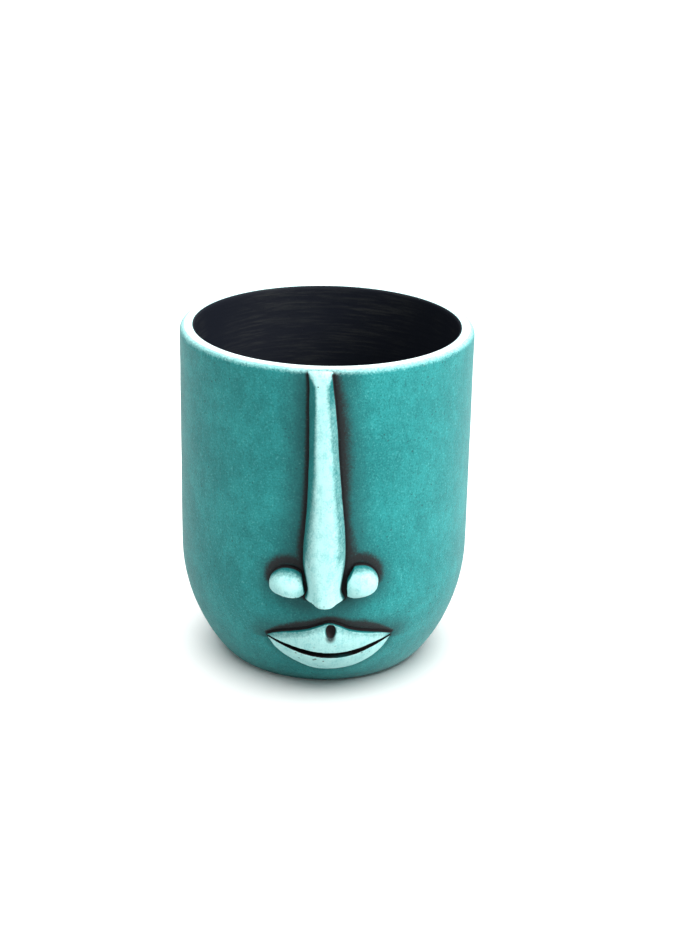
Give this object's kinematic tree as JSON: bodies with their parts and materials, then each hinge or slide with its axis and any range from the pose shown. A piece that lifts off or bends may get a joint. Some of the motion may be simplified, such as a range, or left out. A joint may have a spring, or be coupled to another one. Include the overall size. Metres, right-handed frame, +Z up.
{
  "type": "tiki mug",
  "caption": "Handleless clay tumbler with a long raised nose, ball nostrils and a carved mouth on its front, and a glazed inside.",
  "frame": {"origin": "centre of the standing face, on the cup's axis", "axes": "+Z up along the cup's axis, -Y the way the face looks, +X to the right of someone who looks at the face"},
  "size_m": [0.085, 0.0913, 0.1],
  "materials": {
    "painted_clay": "matt teal stain with dark sprayed shading and a pale rubbed rim",
    "rubbed_clay": "pale mint, dry-brushed high spots over teal",
    "bare_clay": "unglazed fired clay",
    "black_glaze": "black brushed-on glaze, satin"
  },
  "bodies": {
    "root": {"cup_wall": "painted_clay", "cup_floor": "bare_clay", "inner_glaze": "black_glaze", "nose_ridge": "rubbed_clay", "nostril_left": "rubbed_clay", "nostril_right": "rubbed_clay", "upper_lip": "rubbed_clay", "lower_lip": "rubbed_clay"}
  },
  "joints": []
}
